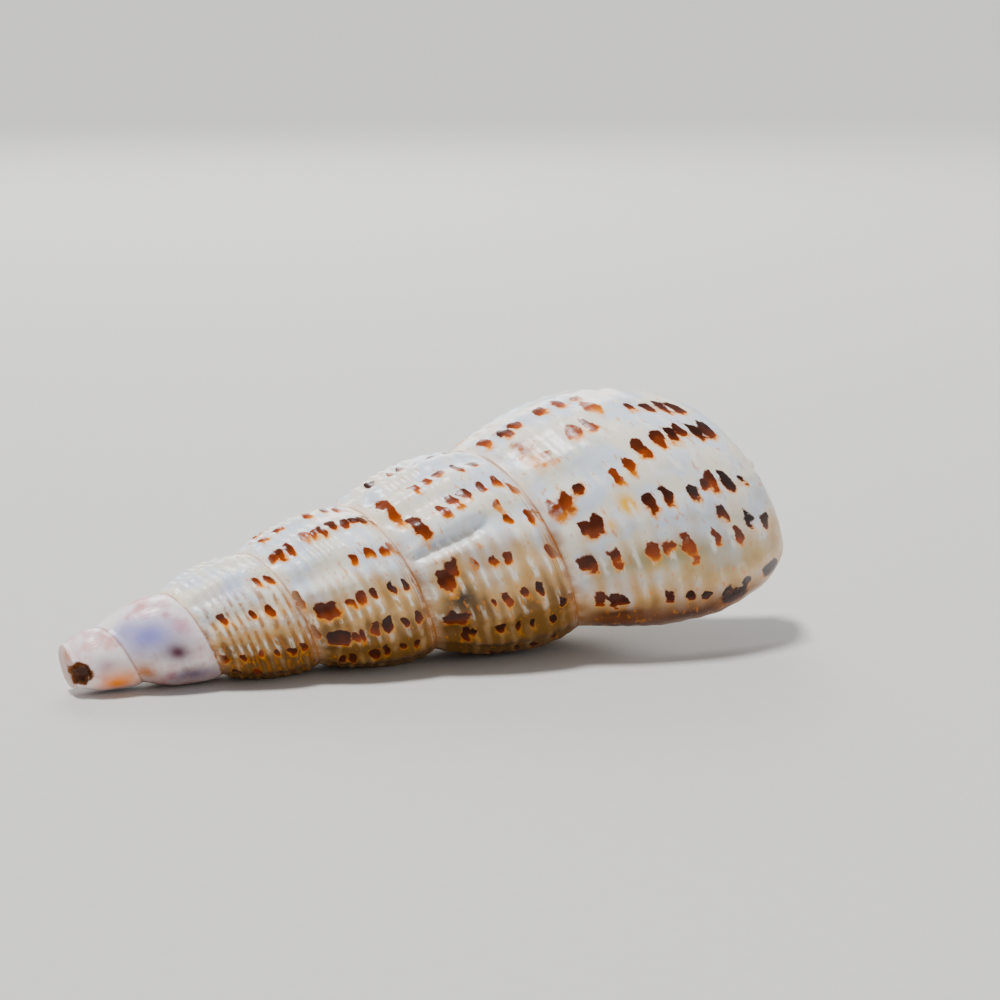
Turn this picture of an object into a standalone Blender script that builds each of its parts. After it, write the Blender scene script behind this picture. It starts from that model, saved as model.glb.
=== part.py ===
"""Shell of a Malaysian trumpet snail, 28 mm long, lying on its aperture side.

The shell is one hollow, right-handed coil. Its outline is a formula of two numbers: the turn,
counted from the worn tip, and the place between the suture above and the suture below. Sheets
of quads are rolled up by that formula and sewn together along the sutures and the lip.
"""
import math

import bmesh
import bpy
from mathutils import Vector

MM = 0.001

# Coil, from the worn tip to the lip
LIP_TURN = 5.0 + 1.0 / 24.0
TIP_ANGLE = math.radians(154.0)
FIRST_PITCH = 2.25 * MM
PITCH_GROWTH = 1.243
TIP_RADIUS = 0.78 * MM
RADIUS_GAIN = 0.404 * MM
RADIUS_GAIN_GROWTH = 0.0433 * MM

# Whorl side, in shares of the whorl's height
BULGE = 0.088
BULGE_LEAN = 1.16
BULGE_SQUARENESS = 2.2

# Base of a whorl, as (share of its height, share of its lower suture's radius). Its inner end,
# the root of the pillar, draws back over the last turn and is stoutest half way round it.
BASE_START = ((1.0, 1.0), (1.10, 0.955), (1.35, 0.88))
MIDDLE = (1.35, 0.60)
MIDDLE_DRAW = 0.4
MIDDLE_SWELLING = 0.06
ROOT = (1.60, 0.20)
LIP_ROOT_HEIGHT = 1.31
ROOT_SWELLING = 0.30

# Pillar that the whorls turn round
PILLAR_RADIUS = 0.55 * MM
PILLAR_END = 27.60 * MM
PILLAR_END_RADIUS = 0.40 * MM
NECK_FILL = 0.45
NECK_FILL_TURNS = 0.35
NECK_SHARE = 0.75

# How the base and the neck bend, as two points in shares of the way from start to end
DISHED = ((0.20, 0.50), (0.90, 0.90))
STRAIGHT = ((0.33, 0.33), (0.66, 0.66))
HOLLOWED = ((0.15, 0.60), (0.50, 0.95))
FULL = ((0.40, 0.20), (0.95, 0.55))

# Growth lines swing back on the side of a whorl and forward on its base, in turns
SIDE_SWAY = -0.012
BASE_SWAY = 0.020

# Relief
FOLDS_PER_TURN = 12
FOLD_SHARE = 0.017
CORDS_PER_WHORL = 5
CORDS_ON_BASE = 3
CORD_SHARE = 0.007
SUTURE_BAND = 0.12
FREE_EDGE_TURNS = 0.15

# Worn tip with its erosion pit
TIP_DOME = 0.36 * MM
PIT_ANGLE = math.radians(118.0)
PIT_RADIUS = 0.42 * MM
PIT_DEPTH = 0.34 * MM
PIT_STEEPNESS = 1.5

# Wall and hollow
WALL = 0.40 * MM
LIP_WALL = 0.24 * MM
LIP_THINNING_TURNS = 0.12
LIP_ROUNDING = 0.003
CALLUS = 0.10 * MM
CORNER_ALONG = 0.09
CORNER_IN = 0.008
CORNER_SHARE = 0.20
NEAR_HOLLOW_TURNS = 1.0
DEEP_HOLLOW_TURNS = 2.0

# Mesh density
COLUMNS_PER_TURN = 48
SIDE_ROWS = 10
BASE_ROWS = 6
PILLAR_ROWS = 3
CAP_ROWS = 4
NEAR_HOLLOW_ROWS = 24
DEEP_HOLLOW_ROWS = 24

# Resting pose
PITCH = math.radians(10.5)
ROLL = math.radians(-17.4)
FLAT_DEPTH = 0.13 * MM
SLAB = 40.0 * MM

SHELL_COLOUR = (0.78, 0.72, 0.62, 1.0)
SHELL_ROUGHNESS = 0.25
SEAM = 0.0002 * MM
SLOPE_STEP = 0.01


def smooth(value):
    """Ease from 0 to 1 as value goes from 0 to 1."""
    value = min(max(value, 0.0), 1.0)
    return value * value * (3.0 - 2.0 * value)


def bezier(points, share):
    """Point on a cubic curve with four control points."""
    a, b, c, d = (Vector(point) for point in points)
    ab, bc, cd = a.lerp(b, share), b.lerp(c, share), c.lerp(d, share)
    return ab.lerp(bc, share).lerp(bc.lerp(cd, share), share)


def between(first, second, share):
    """Bends part of the way from the first pair to the second."""
    return [Vector(start).lerp(Vector(end), share) for start, end in zip(first, second)]


def bent_line(start, end, bends, share):
    """Point on a curve whose two bends are given in shares of the way from start to end."""
    run = end - start
    points = [start + Vector((run.x * bend.x, run.y * bend.y)) for bend in bends]
    return bezier((start, *points, end), share)


def suture(turn):
    """Place along the axis and distance from it of the suture where a whorl starts."""
    turn = max(turn, 0.0)
    along = FIRST_PITCH * (PITCH_GROWTH ** turn - 1.0) / (PITCH_GROWTH - 1.0)
    out = TIP_RADIUS + RADIUS_GAIN * turn + RADIUS_GAIN_GROWTH * turn * turn
    return Vector((along, out))


def last_turn(turn):
    """How far a turn is along the last one: 0 up to where it starts, 1 at the lip."""
    return min(max(turn - LIP_TURN + 1.0, 0.0), 1.0)


def free_edge(turn):
    """0 where the next whorl covers this one's lower edge, 1 on the last turn."""
    return smooth(last_turn(turn) / FREE_EDGE_TURNS)


def side(turn, down):
    """Smooth outline of a whorl from the suture above (0) to the suture below (1)."""
    upper, lower = suture(turn), suture(turn + 1.0)
    point = upper.lerp(lower, down)
    swell = 1.0 - abs(2.0 * down ** BULGE_LEAN - 1.0) ** BULGE_SQUARENESS
    point.y += BULGE * (lower.x - upper.x) * swell
    return point


def base(turn, inward):
    """Smooth outline of a whorl's base from its lower edge (0) to the pillar's root (1)."""
    upper, lower = suture(turn), suture(turn + 1.0)
    last = last_turn(turn)
    stout = math.sin(math.pi * last)
    draw = (ROOT[0] - LIP_ROOT_HEIGHT) * (1.0 - last)
    root = Vector((LIP_ROOT_HEIGHT + draw, ROOT[1] + ROOT_SWELLING * stout))
    middle = Vector((MIDDLE[0] + MIDDLE_DRAW * draw, MIDDLE[1] + MIDDLE_SWELLING * stout))
    if inward < 0.5:
        shape = bezier((*BASE_START, middle), 2.0 * inward)
    else:
        shape = bent_line(middle, root, between(DISHED, STRAIGHT, stout), 2.0 * inward - 1.0)
    return Vector((upper.x + (lower.x - upper.x) * shape.x, lower.y * shape.y))


def pillar(turn, forward):
    """Outline of the bare pillar from its root (0) to the middle of its front end (1)."""
    front = Vector((PILLAR_END - PILLAR_END_RADIUS, PILLAR_END_RADIUS))
    if forward < NECK_SHARE:
        fill = NECK_FILL * smooth(last_turn(turn) / NECK_FILL_TURNS)
        return bent_line(base(turn, 1.0), front, between(HOLLOWED, FULL, fill), forward / NECK_SHARE)
    bend = 0.5 * math.pi * (forward - NECK_SHARE) / (1.0 - NECK_SHARE)
    return Vector((front.x + front.y * math.sin(bend), front.y * math.cos(bend)))


def relief(turn, cover, cords):
    """Height of the axial folds and spiral cords over the smooth outline."""
    height = suture(turn + 1.0).x - suture(turn).x
    fold = FOLD_SHARE * math.cos(2.0 * math.pi * FOLDS_PER_TURN * turn)
    cord = -CORD_SHARE * math.cos(2.0 * math.pi * cords)
    return cover * height * (fold + cord)


def roll_up(outline, turn):
    """Point in space of an outline point at the angle that the turn has come to."""
    angle = TIP_ANGLE + 2.0 * math.pi * turn
    return Vector((outline.x, -outline.y * math.sin(angle), outline.y * math.cos(angle)))


def side_sway(down):
    """Turns by which a growth line on the side swings back."""
    return SIDE_SWAY * math.sin(math.pi * down)


def base_sway(inward):
    """Turns by which a growth line on the base swings forward."""
    return BASE_SWAY * math.sin(math.pi * inward)


def outside_side(turn, down):
    """Point on the outer surface between two sutures."""
    turn += side_sway(down)
    outline = side(turn, down)
    cover = smooth(down / SUTURE_BAND) * max(smooth((1.0 - down) / SUTURE_BAND), free_edge(turn))
    outline.y += relief(turn, cover * smooth(turn + 1.0), CORDS_PER_WHORL * down)
    return roll_up(outline, turn)


def outside_front(turn, inward):
    """Point on the outer surface of the base (0 to 1) or of the bare pillar (1 to 2)."""
    if inward > 1.0:
        return roll_up(pillar(turn, inward - 1.0), turn)
    turn += base_sway(inward)
    outline = base(turn, inward)
    cover = free_edge(turn) * (1.0 - smooth(2.0 * inward))
    outline.y += relief(turn, cover, CORDS_ON_BASE * inward)
    return roll_up(outline, turn)


def outside_tip(turn, inward):
    """Point on the worn dome that closes the tip, from its ring (0) to its middle (1)."""
    bend = 0.5 * math.pi * inward
    return roll_up(Vector((-TIP_DOME * math.sin(bend), TIP_RADIUS * math.cos(bend))), turn)


def wear_pit(point):
    """Press the tip in where it is eroded."""
    centre = roll_up(Vector((0.0, TIP_RADIUS)), (PIT_ANGLE - TIP_ANGLE) / (2.0 * math.pi))
    share = (point - centre).length / PIT_RADIUS
    if share >= 1.0:
        return point
    inward = (Vector((TIP_RADIUS, 0.0, 0.0)) - centre).normalized()
    return point + inward * PIT_DEPTH * smooth(PIT_STEEPNESS * (1.0 - share))


def inset(outline, turn, share, distance):
    """Point at a distance inside an outline; a negative distance is outside it."""
    start = outline(turn, max(share - SLOPE_STEP, 0.0))
    end = outline(turn, min(share + SLOPE_STEP, 1.0))
    run = (end - start).normalized()
    return outline(turn, share) + Vector((run.y, -run.x)) * distance


def wall(turn):
    """Wall thickness, which thins to the lip."""
    return LIP_WALL + (WALL - LIP_WALL) * smooth((LIP_TURN - turn) / LIP_THINNING_TURNS)


def corner(turn):
    """Back corner of the hollow, ahead of the suture."""
    upper = suture(turn)
    height = suture(turn + 1.0).x - upper.x
    return Vector((upper.x + CORNER_ALONG * height, upper.y - CORNER_IN * height))


def hollow_front(turn):
    """Front corner of the hollow, beside the pillar."""
    return Vector((base(turn, 1.0).x - wall(turn), PILLAR_RADIUS + CALLUS))


def hollow(turn, place):
    """Point on the hollow's wall: side 0 to 1, base 1 to 2, front 2 to 3, pillar 3 to 4,
    and 4 to 5 the base of the whorl before, which forms the hollow's back.
    """
    part = min(int(place), 4)
    share = place - part
    if part == 0:
        turn += side_sway(share)
        outline = corner(turn).lerp(inset(side, turn, share, wall(turn)), smooth(share / CORNER_SHARE))
    elif part == 1:
        turn += base_sway(share)
        outline = inset(base, turn, share, wall(turn))
    elif part == 2:
        outline = inset(base, turn, 1.0, wall(turn)).lerp(hollow_front(turn), share)
    elif part == 3:
        root = inset(base, turn - 1.0, 1.0, -CALLUS)
        outline = bent_line(root, hollow_front(turn), between(HOLLOWED, FULL, 0.0), 1.0 - share)
    else:
        turn += base_sway(1.0 - share)
        back = inset(base, turn - 1.0, 1.0 - share, -CALLUS)
        outline = corner(turn).lerp(back, smooth((1.0 - share) / CORNER_SHARE))
    return roll_up(outline, turn)


def rim(place):
    """Point on the outer surface where the aperture begins, at the same place as hollow()."""
    if place <= 1.0:
        return outside_side(LIP_TURN, place)
    if place <= 3.0:
        return outside_front(LIP_TURN, place - 1.0)
    return outside_front(LIP_TURN - 1.0, 5.0 - place)


def aperture_rows():
    """Turns at which the hollow is drawn, from the lip inward."""
    near_step = NEAR_HOLLOW_TURNS / NEAR_HOLLOW_ROWS
    deep_step = DEEP_HOLLOW_TURNS / DEEP_HOLLOW_ROWS
    deep_start = LIP_TURN - NEAR_HOLLOW_TURNS
    near = [LIP_TURN - near_step * row for row in range(NEAR_HOLLOW_ROWS)]
    return near + [deep_start - deep_step * row for row in range(DEEP_HOLLOW_ROWS + 1)]


def aperture(place, row, turns):
    """Point on the aperture sheet: the rim, the rounded lip, the hollow, then its end."""
    if row == 0:
        return rim(place)
    if row == 1:
        middle = rim(place).lerp(hollow(LIP_TURN, place), 0.5)
        ahead = hollow(LIP_TURN + LIP_ROUNDING, place) - hollow(LIP_TURN, place)
        return middle + ahead * smooth(place / CORNER_SHARE) * smooth(3.0 - place)
    if row < len(turns) + 2:
        return hollow(turns[row - 2], place)
    last = turns[-1]
    return hollow(last, 0.5).lerp(hollow(last, 3.5), 0.5)


def add_sheet(mesh, columns, rows, place):
    """Add a grid of quads and move each corner to place(column share, row share)."""
    made = bmesh.ops.create_grid(mesh, x_segments=columns, y_segments=rows, size=0.5)
    for vert in made["verts"]:
        vert.co = place(vert.co.x + 0.5, vert.co.y + 0.5)


def build_mesh():
    """Sew the sheets of the shell into one closed surface."""
    mesh = bmesh.new()
    coil_turns = LIP_TURN + 1.0
    add_sheet(mesh, round(coil_turns * COLUMNS_PER_TURN), SIDE_ROWS,
              lambda u, v: wear_pit(outside_side(-1.0 + coil_turns * u, v)))

    front_rows = BASE_ROWS + PILLAR_ROWS
    def front_place(v):
        row = v * front_rows
        return row / BASE_ROWS if row <= BASE_ROWS else 1.0 + (row - BASE_ROWS) / PILLAR_ROWS
    add_sheet(mesh, COLUMNS_PER_TURN, front_rows,
              lambda u, v: outside_front(LIP_TURN - 1.0 + u, front_place(v)))
    add_sheet(mesh, COLUMNS_PER_TURN, CAP_ROWS, lambda u, v: wear_pit(outside_tip(u, v)))

    turns = aperture_rows()
    segments = (SIDE_ROWS, BASE_ROWS, PILLAR_ROWS, PILLAR_ROWS, BASE_ROWS)
    places = [part + step / count for part, count in enumerate(segments) for step in range(count)]
    places.append(float(len(segments)))
    last_place, last_row = len(places) - 1, len(turns) + 2
    add_sheet(mesh, last_place, last_row,
              lambda u, v: aperture(places[round(u * last_place)], round(v * last_row), turns))

    bmesh.ops.remove_doubles(mesh, verts=mesh.verts, dist=SEAM)
    bmesh.ops.dissolve_degenerate(mesh, edges=mesh.edges, dist=SEAM)
    bmesh.ops.recalc_face_normals(mesh, faces=mesh.faces)
    return mesh


def make_material():
    material = bpy.data.materials.new("shell aragonite")
    material.use_nodes = True
    shader = material.node_tree.nodes["Principled BSDF"]
    shader.inputs["Base Color"].default_value = SHELL_COLOUR
    shader.inputs["Roughness"].default_value = SHELL_ROUGHNESS
    shader.inputs["Metallic"].default_value = 0.0
    return material


def make_collection(name):
    collection = bpy.data.collections.new(name)
    bpy.context.scene.collection.children.link(collection)
    return collection


def rest_on_ground(shell):
    """Lower the shell until its flats can be cut at height 0, centred over the origin."""
    points = [shell.rotation_euler.to_matrix() @ vert.co for vert in shell.data.vertices]
    lows = [min(point[axis] for point in points) for axis in range(3)]
    highs = [max(point[axis] for point in points) for axis in range(3)]
    shell.location = (-0.5 * (lows[0] + highs[0]), -0.5 * (lows[1] + highs[1]), -lows[2] - FLAT_DEPTH)


def main():
    for thing in list(bpy.data.objects):
        bpy.data.objects.remove(thing, do_unlink=True)
    parts = make_collection("malaysian trumpet snail shell")
    cutters = make_collection("cutters")

    mesh = build_mesh()
    data = bpy.data.meshes.new("shell")
    mesh.to_mesh(data)
    mesh.free()
    data.materials.append(make_material())
    data.shade_smooth()
    shell = bpy.data.objects.new("shell", data)
    parts.objects.link(shell)
    shell.rotation_euler = (ROLL, -PITCH, 0.0)
    rest_on_ground(shell)

    # The slab under height 0 cuts the small flats that the shell rests on
    bpy.ops.mesh.primitive_cube_add(size=SLAB, location=(0.0, 0.0, -0.5 * SLAB))
    slab = bpy.context.object
    slab.name = "slab cutter"
    slab.display_type = "WIRE"
    slab.hide_render = True
    for home in list(slab.users_collection):
        home.objects.unlink(slab)
    cutters.objects.link(slab)
    cut = shell.modifiers.new("rest flats", "BOOLEAN")
    cut.operation = "DIFFERENCE"
    cut.solver = "EXACT"
    cut.object = slab


main()
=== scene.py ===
"""Looks of a Malaysian trumpet snail shell that lies on its aperture side.

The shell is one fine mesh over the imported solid. The same formula of turn and place that shapes
the solid shapes it, with the cords, growth breaks and wear that a real shell has, and with the
rows of rust-brown dashes that lie on its cords.
"""
import math
import random

import bmesh
import bpy
from mathutils import Euler, Matrix, Vector, noise


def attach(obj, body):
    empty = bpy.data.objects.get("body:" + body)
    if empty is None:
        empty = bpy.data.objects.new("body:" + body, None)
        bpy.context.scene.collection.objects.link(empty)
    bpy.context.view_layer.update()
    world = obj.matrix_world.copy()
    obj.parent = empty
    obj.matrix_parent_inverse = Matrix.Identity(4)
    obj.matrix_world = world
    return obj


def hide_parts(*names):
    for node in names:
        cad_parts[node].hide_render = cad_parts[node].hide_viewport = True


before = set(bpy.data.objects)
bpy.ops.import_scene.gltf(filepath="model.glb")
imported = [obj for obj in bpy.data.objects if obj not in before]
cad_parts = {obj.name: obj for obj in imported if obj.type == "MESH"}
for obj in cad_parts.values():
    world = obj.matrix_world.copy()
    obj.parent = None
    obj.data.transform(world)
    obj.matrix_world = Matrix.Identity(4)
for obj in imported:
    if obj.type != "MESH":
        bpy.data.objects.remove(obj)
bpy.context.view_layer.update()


# Ground: a pale matt board, wide enough to fill the view. It carries no pattern that would
# compete with the shell, only the faint mottling of uncoated paper.
MM = 0.001
GROUND_WIDTH = 4.0
GROUND_PALE = "CBC9C5"
GROUND_SHADE = "C5C3BF"
GROUND_GRAIN = 0.8 * MM


def linear(hex_colour):
    """Linear colour of an sRGB hex value."""
    parts = [int(hex_colour[i:i + 2], 16) / 255.0 for i in (0, 2, 4)]
    parts = [c / 12.92 if c <= 0.04045 else ((c + 0.055) / 1.055) ** 2.4 for c in parts]
    return (*parts, 1.0)


def add_node(tree, kind, inputs, output=0, **settings):
    """Add a node with its settings; its inputs get numbers, hex colours or the outputs that
    feed them. Gives back one of its outputs.
    """
    node = tree.nodes.new("ShaderNode" + kind)
    for name, value in settings.items():
        setattr(node, name, value)
    feed(node, inputs)
    return node.outputs[output]


def feed(node, inputs):
    """Give a node's inputs their numbers, hex colours or links."""
    for name, value in inputs.items():
        if isinstance(value, bpy.types.NodeSocket):
            node.id_data.links.new(value, node.inputs[name])
        else:
            node.inputs[name].default_value = linear(value) if isinstance(value, str) else value


def new_material(name):
    """Node material with nothing but its shader."""
    material = bpy.data.materials.new(name)
    material.use_nodes = True
    return material, material.node_tree, material.node_tree.nodes["Principled BSDF"]


bpy.ops.object.select_all(action="DESELECT")
bpy.ops.mesh.primitive_plane_add(size=GROUND_WIDTH)
ground = bpy.context.object
ground.name = "ground"

# Uncoated paperboard, calendered: nearly even, matt, with soft flocks a millimetre across
paper, tree, shader = new_material("uncoated paperboard")
on_board = add_node(tree, "TexCoord", {}, "Object")
flocks = add_node(tree, "TexNoise", {"Vector": on_board, "Scale": 1.0 / GROUND_GRAIN, "Detail": 3.0})
tone = add_node(tree, "Mix", {0: flocks, 6: GROUND_PALE, 7: GROUND_SHADE}, 2, data_type="RGBA")
feed(shader, {"Base Color": tone, "Roughness": 0.75})
ground.data.materials.append(paper)


# Shell: aragonite that the mantle laid down at the lip, turn after turn, so every line on it
# follows the coil. Outline and hollow are those of the solid: a point is given by its turn,
# counted from the worn tip, and its place on the whorl between two sutures.
LIP_TURN = 5.0 + 1.0 / 24.0
TIP_ANGLE = math.radians(154.0)
FIRST_PITCH = 2.25 * MM
PITCH_GROWTH = 1.243
TIP_RADIUS = 0.78 * MM
RADIUS_GAIN = 0.404 * MM
RADIUS_GAIN_GROWTH = 0.0433 * MM
BULGE = 0.088
BULGE_LEAN = 1.16
BULGE_SQUARENESS = 2.2
BASE_START = ((1.0, 1.0), (1.10, 0.955), (1.35, 0.88))
MIDDLE = (1.35, 0.60)
MIDDLE_DRAW = 0.4
MIDDLE_SWELLING = 0.06
ROOT = (1.60, 0.20)
LIP_ROOT_HEIGHT = 1.31
ROOT_SWELLING = 0.30
PILLAR_RADIUS = 0.55 * MM
PILLAR_END = 27.60 * MM
PILLAR_END_RADIUS = 0.40 * MM
NECK_FILL = 0.45
NECK_FILL_TURNS = 0.35
NECK_SHARE = 0.75
DISHED = ((0.20, 0.50), (0.90, 0.90))
STRAIGHT = ((0.33, 0.33), (0.66, 0.66))
HOLLOWED = ((0.15, 0.60), (0.50, 0.95))
FULL = ((0.40, 0.20), (0.95, 0.55))
SIDE_SWAY = -0.012
BASE_SWAY = 0.020
TIP_DOME = 0.14 * MM
PIT_ANGLE = math.radians(118.0)
PIT_ALONG = 0.20 * MM
PIT_RADIUS = 0.50 * MM
PIT_DEPTH = 0.36 * MM
PIT_STEEPNESS = 1.5
WALL = 0.40 * MM
LIP_WALL = 0.24 * MM
LIP_THINNING_TURNS = 0.12
LIP_ROUNDING = 0.003
CALLUS = 0.10 * MM
CORNER_ALONG = 0.09
CORNER_IN = 0.008
CORNER_SHARE = 0.20
NEAR_HOLLOW_TURNS = 1.0
DEEP_HOLLOW_TURNS = 2.0
SLOPE_STEP = 0.01
SEAM = 0.00002 * MM
PRESS_EASE = 0.03 * MM

# Resting place of the shell: its pitch, its roll, and where its tip ring's centre comes
PITCH = math.radians(10.5)
ROLL = math.radians(-17.4)
TIP_AT = Vector((-13.77526, 0.24428, 1.01931)) * MM

# Mesh density
COLUMNS_PER_TURN = 240
SIDE_ROWS = 52
BASE_ROWS = 24
PILLAR_ROWS = 8
CAP_ROWS = 10
NEAR_HOLLOW_ROWS = 24
DEEP_HOLLOW_ROWS = 16


def smooth(value):
    """Ease from 0 to 1 as value goes from 0 to 1."""
    value = min(max(value, 0.0), 1.0)
    return value * value * (3.0 - 2.0 * value)


def bezier(points, share):
    """Point on a cubic curve with four control points."""
    a, b, c, d = (Vector(point) for point in points)
    ab, bc, cd = a.lerp(b, share), b.lerp(c, share), c.lerp(d, share)
    return ab.lerp(bc, share).lerp(bc.lerp(cd, share), share)


def between(first, second, share):
    """Bends part of the way from the first pair to the second."""
    return [Vector(start).lerp(Vector(end), share) for start, end in zip(first, second)]


def bent_line(start, end, bends, share):
    """Point on a curve whose two bends are given in shares of the way from start to end."""
    run = end - start
    points = [start + Vector((run.x * bend.x, run.y * bend.y)) for bend in bends]
    return bezier((start, *points, end), share)


def suture(turn):
    """Place along the axis and distance from it of the suture where a whorl starts."""
    turn = max(turn, 0.0)
    along = FIRST_PITCH * (PITCH_GROWTH ** turn - 1.0) / (PITCH_GROWTH - 1.0)
    out = TIP_RADIUS + RADIUS_GAIN * turn + RADIUS_GAIN_GROWTH * turn * turn
    return Vector((along, out))


def last_turn(turn):
    """How far a turn is along the last one: 0 up to where it starts, 1 at the lip."""
    return min(max(turn - LIP_TURN + 1.0, 0.0), 1.0)


def side(turn, down):
    """Smooth outline of a whorl from the suture above (0) to the suture below (1)."""
    upper, lower = suture(turn), suture(turn + 1.0)
    point = upper.lerp(lower, down)
    swell = 1.0 - abs(2.0 * down ** BULGE_LEAN - 1.0) ** BULGE_SQUARENESS
    point.y += BULGE * (lower.x - upper.x) * swell
    return point


def base(turn, inward):
    """Smooth outline of a whorl's base from its lower edge (0) to the pillar's root (1)."""
    upper, lower = suture(turn), suture(turn + 1.0)
    last = last_turn(turn)
    stout = math.sin(math.pi * last)
    draw = (ROOT[0] - LIP_ROOT_HEIGHT) * (1.0 - last)
    root = Vector((LIP_ROOT_HEIGHT + draw, ROOT[1] + ROOT_SWELLING * stout))
    middle = Vector((MIDDLE[0] + MIDDLE_DRAW * draw, MIDDLE[1] + MIDDLE_SWELLING * stout))
    if inward < 0.5:
        shape = bezier((*BASE_START, middle), 2.0 * inward)
    else:
        shape = bent_line(middle, root, between(DISHED, STRAIGHT, stout), 2.0 * inward - 1.0)
    return Vector((upper.x + (lower.x - upper.x) * shape.x, lower.y * shape.y))


def pillar(turn, forward):
    """Outline of the bare pillar from its root (0) to the middle of its front end (1)."""
    front = Vector((PILLAR_END - PILLAR_END_RADIUS, PILLAR_END_RADIUS))
    if forward < NECK_SHARE:
        fill = NECK_FILL * smooth(last_turn(turn) / NECK_FILL_TURNS)
        return bent_line(base(turn, 1.0), front, between(HOLLOWED, FULL, fill), forward / NECK_SHARE)
    bend = 0.5 * math.pi * (forward - NECK_SHARE) / (1.0 - NECK_SHARE)
    return Vector((front.x + front.y * math.sin(bend), front.y * math.cos(bend)))


def roll_up(outline, turn):
    """Point in space of an outline point at the angle that the turn has come to."""
    angle = TIP_ANGLE + 2.0 * math.pi * turn
    return Vector((outline.x, -outline.y * math.sin(angle), outline.y * math.cos(angle)))


# Relief: raised spiral cords, cut into beads on the early whorls by axial folds, low and broad
# on the last. Cords are places on the whorl: the first list is for the spire, the second for
# the last whorl, whose base shows, with places over 1 on it.
SPIRE_CORDS = (0.07, 0.18, 0.26, 0.34, 0.42, 0.51, 0.61, 0.77, 0.88, 0.97, 1.12, 1.30, 1.55)
LAST_CORDS = (0.09, 0.20, 0.28, 0.37, 0.46, 0.57, 0.68, 0.83, 0.96, 1.20, 1.46, 1.72, 1.95)
CORD_HEIGHT = 0.022 * MM
LAST_CORD_HEIGHT = 0.014 * MM
CORD_PATCH = 1.4 * MM
FOLDS_AT_TIP = 11.0
FOLDS_GAINED = 1.5
FOLD_SHARE = 0.018
LAST_FOLD_SHARE = 0.006
FOLD_FADE = 0.5
CORD_CHANGE_TURNS = 0.5
CORD_HALVINGS = 12
LAST_RELIEF_TURNS = 1.0 / 3.0
SUTURE_BAND = 0.10
FREE_EDGE_TURNS = 0.15
BASE_FADE_FROM = 1.5
BASE_FADE = 0.5
WEAR_TURNS = 2.0
BARE_TURNS = 0.85
WEAR_LUMP = 0.9 * MM
WEAR_HEIGHT = 0.07 * MM
WAVE_LENGTH = 1.3 * MM
WAVE_HEIGHT = 0.055 * MM

# Healed break on the last whorl but one: the old lip stands out as a swollen edge, a groove
# runs under it, and the new growth starts with a thin ridge of its own near the suture
BREAK_TURN = 3.785
BREAK_LEAN = 0.04
OLD_LIP_TURNS = 0.035
OLD_LIP_HEIGHT = 0.17 * MM
GROOVE_AHEAD = 0.011
GROOVE_TURNS = 0.012
GROOVE_DEPTH = 0.20 * MM
NEW_LIP_AHEAD = 0.032
NEW_LIP_TURNS = 0.010
NEW_LIP_HEIGHT = 0.09 * MM
NEW_LIP_ENDS = 0.5
NEW_LIP_FADE = 0.2
BREAK_ENDS = 0.75
BREAK_FADE = 0.3


def cord_place(cord, turn):
    """Place on the whorl of a cord, counted from 1; a half is midway to the next cord. The
    number stays just short of the last cord, so that there is always a next one.
    """
    number = min(max(cord - 1.0, 0.0), len(SPIRE_CORDS) - 1.001)
    low, share = int(number), number - int(number)
    on_spire = SPIRE_CORDS[low] + (SPIRE_CORDS[low + 1] - SPIRE_CORDS[low]) * share
    on_last = LAST_CORDS[low] + (LAST_CORDS[low + 1] - LAST_CORDS[low]) * share
    return on_spire + (on_last - on_spire) * smooth(last_turn(turn) / CORD_CHANGE_TURNS)


def cord_number(place, turn):
    """Number of the cord at a place, the other way round from cord_place."""
    low, high = 0.0, float(len(SPIRE_CORDS))
    for _ in range(CORD_HALVINGS):
        middle = 0.5 * (low + high)
        low, high = (middle, high) if cord_place(middle, turn) < place else (low, middle)
    return 0.5 * (low + high)


def fold_phase(turn):
    """Number of axial folds passed since the tip."""
    return FOLDS_AT_TIP * turn + 0.5 * FOLDS_GAINED * turn * turn


def bump(value):
    """Smooth hill, 1 at 0 and nearly nothing past 2."""
    return math.exp(-value * value)


def growth_break(turn, place):
    """Height of the healed break over the smooth outline."""
    ahead = turn - BREAK_TURN - BREAK_LEAN * (0.5 - place)
    old_lip = OLD_LIP_HEIGHT * bump(ahead / OLD_LIP_TURNS) if ahead < 0.0 else 0.0
    groove = GROOVE_DEPTH * bump((ahead - GROOVE_AHEAD) / GROOVE_TURNS)
    new_lip = NEW_LIP_HEIGHT * bump((ahead - NEW_LIP_AHEAD) / NEW_LIP_TURNS)
    new_lip *= smooth((NEW_LIP_ENDS - place) / NEW_LIP_FADE)
    return (old_lip - groove + new_lip) * smooth((BREAK_ENDS - place) / BREAK_FADE)


def wear(turn):
    """How worn the surface is: 1 at the tip, 0 from the third whorl on."""
    return 1.0 - smooth(turn / WEAR_TURNS)


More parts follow.
